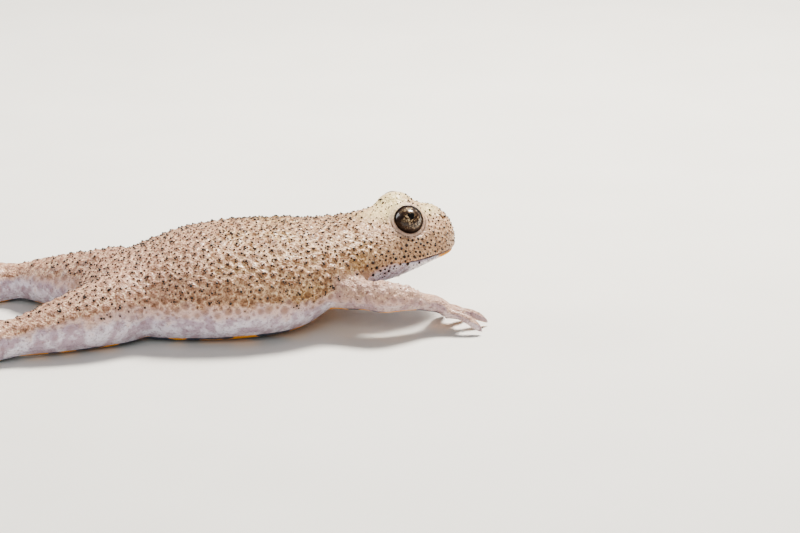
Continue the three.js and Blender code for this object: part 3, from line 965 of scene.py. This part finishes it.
    def relief(self):
        """Pimples and fine grain, weaker on the lids and the throat."""
        smooth_places = (self.lid + self.throat * 0.5).between(0, 1)
        relief = self.bump(self.cells(0.3 * MM), 0.13 * MM, strength=1 - smooth_places * 0.8)
        relief = self.bump(self.fine, 0.13 * MM, relief, (1 - smooth_places * 0.7) * 0.8)
        return self.bump(self.noise(0.16 * MM, 2), 0.02 * MM, relief, 0.6)


def spine_finish():
    """Horny black with a brown cast."""
    finish = Finish("spine_finish", Specular_IOR_Level=0.5)
    shade = finish.noise(0.4 * MM, 2)
    finish.set(
        Base_Color=finish.mix(SPINE_BLACK, SPINE_BROWN, shade.between(0.45, 0.7)),
        Roughness=0.28 + shade * 0.2,
    )
    return finish.material


def eye_finish(eye):
    """A bronze iris with dark marbling round a dark, three-cornered pupil."""
    finish = Finish(
        f"{eye.node}_finish", Coat_Weight=1, Coat_IOR=1.34, Coat_Roughness=0.03, Specular_IOR_Level=0.2
    )
    kind = "ShaderNodeVectorMath"
    away = finish.node(kind, {"operation": "SUBTRACT"}, {0: finish.place, 1: eye.centre})

    def along(direction):
        """How far from the eye's centre in this direction, in its radius."""
        reach = finish.node(kind, {"operation": "DOT_PRODUCT"}, {0: away, 1: direction}, "Value")
        return reach / EYEBALL_RADIUS

    right = along(eye.across)
    up = along(eye.up)
    radius = (right * right + up * up) ** 0.5
    marble = finish.noise(0.7 * MM, 5, 0.65)
    patch = finish.noise(1.3 * MM, 2)
    veins = finish.cells(0.36 * MM, "DISTANCE_TO_EDGE")
    iris = finish.mix(DARK_BRONZE, LIGHT_BRONZE, marble.between(0.44, 0.62))
    iris = finish.mix(VEIN_BROWN, iris, veins.between(0.03, 0.2))
    iris = finish.mix(iris, MARBLE_BROWN, marble.between(0.52, 0.4) * 0.85)
    iris = finish.mix(iris, PATCH_BROWN, patch.between(0.45, 0.6) * 0.6)
    # Painted shade: the iris darkened towards one side and below
    iris = finish.mix(iris, IRIS_SIDE_SHADE, (right - up * 0.7).between(0.1, 0.75) * 0.8)
    # The pupil is wide above and drawn to a point below
    width = 0.2 + (up - 0.05) * 0.5
    across_share = (right * right) ** 0.5 / width.greater(0.02)
    height_share = ((up - 0.07) * (up - 0.07)) ** 0.5 / 0.24
    pupil = across_share**3 + height_share**3 + (marble - 0.5) * 1.2
    colour = finish.mix(PUPIL_BLACK, iris, pupil.between(0.7, 1.15))
    colour = finish.mix(colour, IRIS_RIM, radius.between(0.7, 0.88) * 0.9)
    finish.set(Base_Color=colour, Roughness=0.25 + marble * 0.1)
    return finish.material


def make_eye(eye):
    """An eyeball with the clear bulge of its cornea."""
    bpy.ops.object.select_all(action="DESELECT")
    bpy.ops.mesh.primitive_uv_sphere_add(
        segments=48, ring_count=32, radius=EYEBALL_RADIUS, location=eye.centre
    )
    ball = bpy.context.object
    ball.name = ball.data.name = f"eyeball_{eye.node.split('_')[1]}"
    ball.rotation_euler = eye.gaze.to_track_quat("Z", "Y").to_euler()
    bpy.ops.object.transform_apply(location=True, rotation=True, scale=True)
    points, normals = points_of(ball)
    _, angle = eye.polar(points)
    move_points(ball, points + normals * (CORNEA_BULGE * step(angle, 52, 20))[:, None])
    shade_smooth(ball)
    ball.data.materials.append(eye_finish(eye))
    return ball


skin, warts = make_skin()
skin.data.materials.append(SkinFinish().material)
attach(skin, "root")
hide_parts(*FLESH)

spines = make_spines(skin, warts)
spines.data.materials.append(spine_finish())
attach(spines, "root")

for eye in eyes:
    ball = make_eye(eye)
    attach(ball, "root")
    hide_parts(eye.node)

# Floor and studio light


def make_floor():
    bpy.ops.object.select_all(action="DESELECT")
    bpy.ops.mesh.primitive_plane_add(size=3, location=(0, 0, 0))
    floor = bpy.context.object
    floor.name = "floor"
    finish = Finish("floor_finish")
    grain = finish.noise(20 * MM, 3)
    finish.set(Base_Color=finish.mix(FLOOR_GREY, FLOOR_PALE, grain), Roughness=0.6 + grain * 0.1)
    floor.data.materials.append(finish.material)


def add_light(name, place, size, power, colour, mirrored=True):
    """A square soft light that looks at the toad; it may be kept out of the wet eyes' reflections."""
    bpy.ops.object.light_add(type="AREA", location=place)
    light = bpy.context.object
    light.name = name
    light.data.size = size
    light.data.energy = power
    light.data.color = colour
    light.rotation_euler = (-Vector(place)).to_track_quat("-Z", "Y").to_euler()
    light.visible_glossy = mirrored


def light_from_all_sides(colour, strength):
    world = bpy.data.worlds.new("studio")
    world.use_nodes = True
    background = world.node_tree.nodes["Background"]
    background.inputs["Color"].default_value = colour
    background.inputs["Strength"].default_value = strength
    bpy.context.scene.world = world


make_floor()
add_light("key", (0.16, 0.12, 0.32), size=0.12, power=3.7, colour=(1, 0.95, 0.88))
add_light("front", (-0.1, -0.42, 0.22), size=0.3, power=1.5, colour=(0.95, 0.97, 1), mirrored=False)
add_light("rim", (-0.3, 0.25, 0.2), size=0.2, power=0.8, colour=(1, 1, 1))
light_from_all_sides(colour=(0.75, 0.78, 0.82, 1), strength=0.24)
bpy.context.scene.view_settings.look = "AgX - Medium High Contrast"

# Camera at the photograph's angle
CAMERA_AZIMUTH = math.radians(-14)
CAMERA_ELEVATION = math.radians(17)
LENS = 150
SENSOR = 36
PIXELS_PER_METRE = 7400  # at the snout
FRAME_WIDTH, FRAME_HEIGHT = 800, 533
SNOUT_PIXEL = (454, 243)


def make_camera():
    flat = math.cos(CAMERA_ELEVATION)
    back = Vector(
        (math.sin(CAMERA_AZIMUTH) * flat, -math.cos(CAMERA_AZIMUTH) * flat, math.sin(CAMERA_ELEVATION))
    )
    turn = back.to_track_quat("Z", "Y")
    right, up = turn @ Vector((1, 0, 0)), turn @ Vector((0, 1, 0))
    distance = FRAME_WIDTH * LENS / (SENSOR * PIXELS_PER_METRE)
    target = (
        SNOUT
        + right * (FRAME_WIDTH / 2 - SNOUT_PIXEL[0]) / PIXELS_PER_METRE
        + up * (SNOUT_PIXEL[1] - FRAME_HEIGHT / 2) / PIXELS_PER_METRE
    )
    bpy.ops.object.camera_add(location=target + back * distance, rotation=turn.to_euler())
    camera = bpy.context.object
    camera.name = "camera"
    camera.data.lens = LENS
    camera.data.sensor_width = SENSOR
    camera.data.clip_start = 0.01
    camera.data.clip_end = 20
    bpy.context.scene.camera = camera


make_camera()
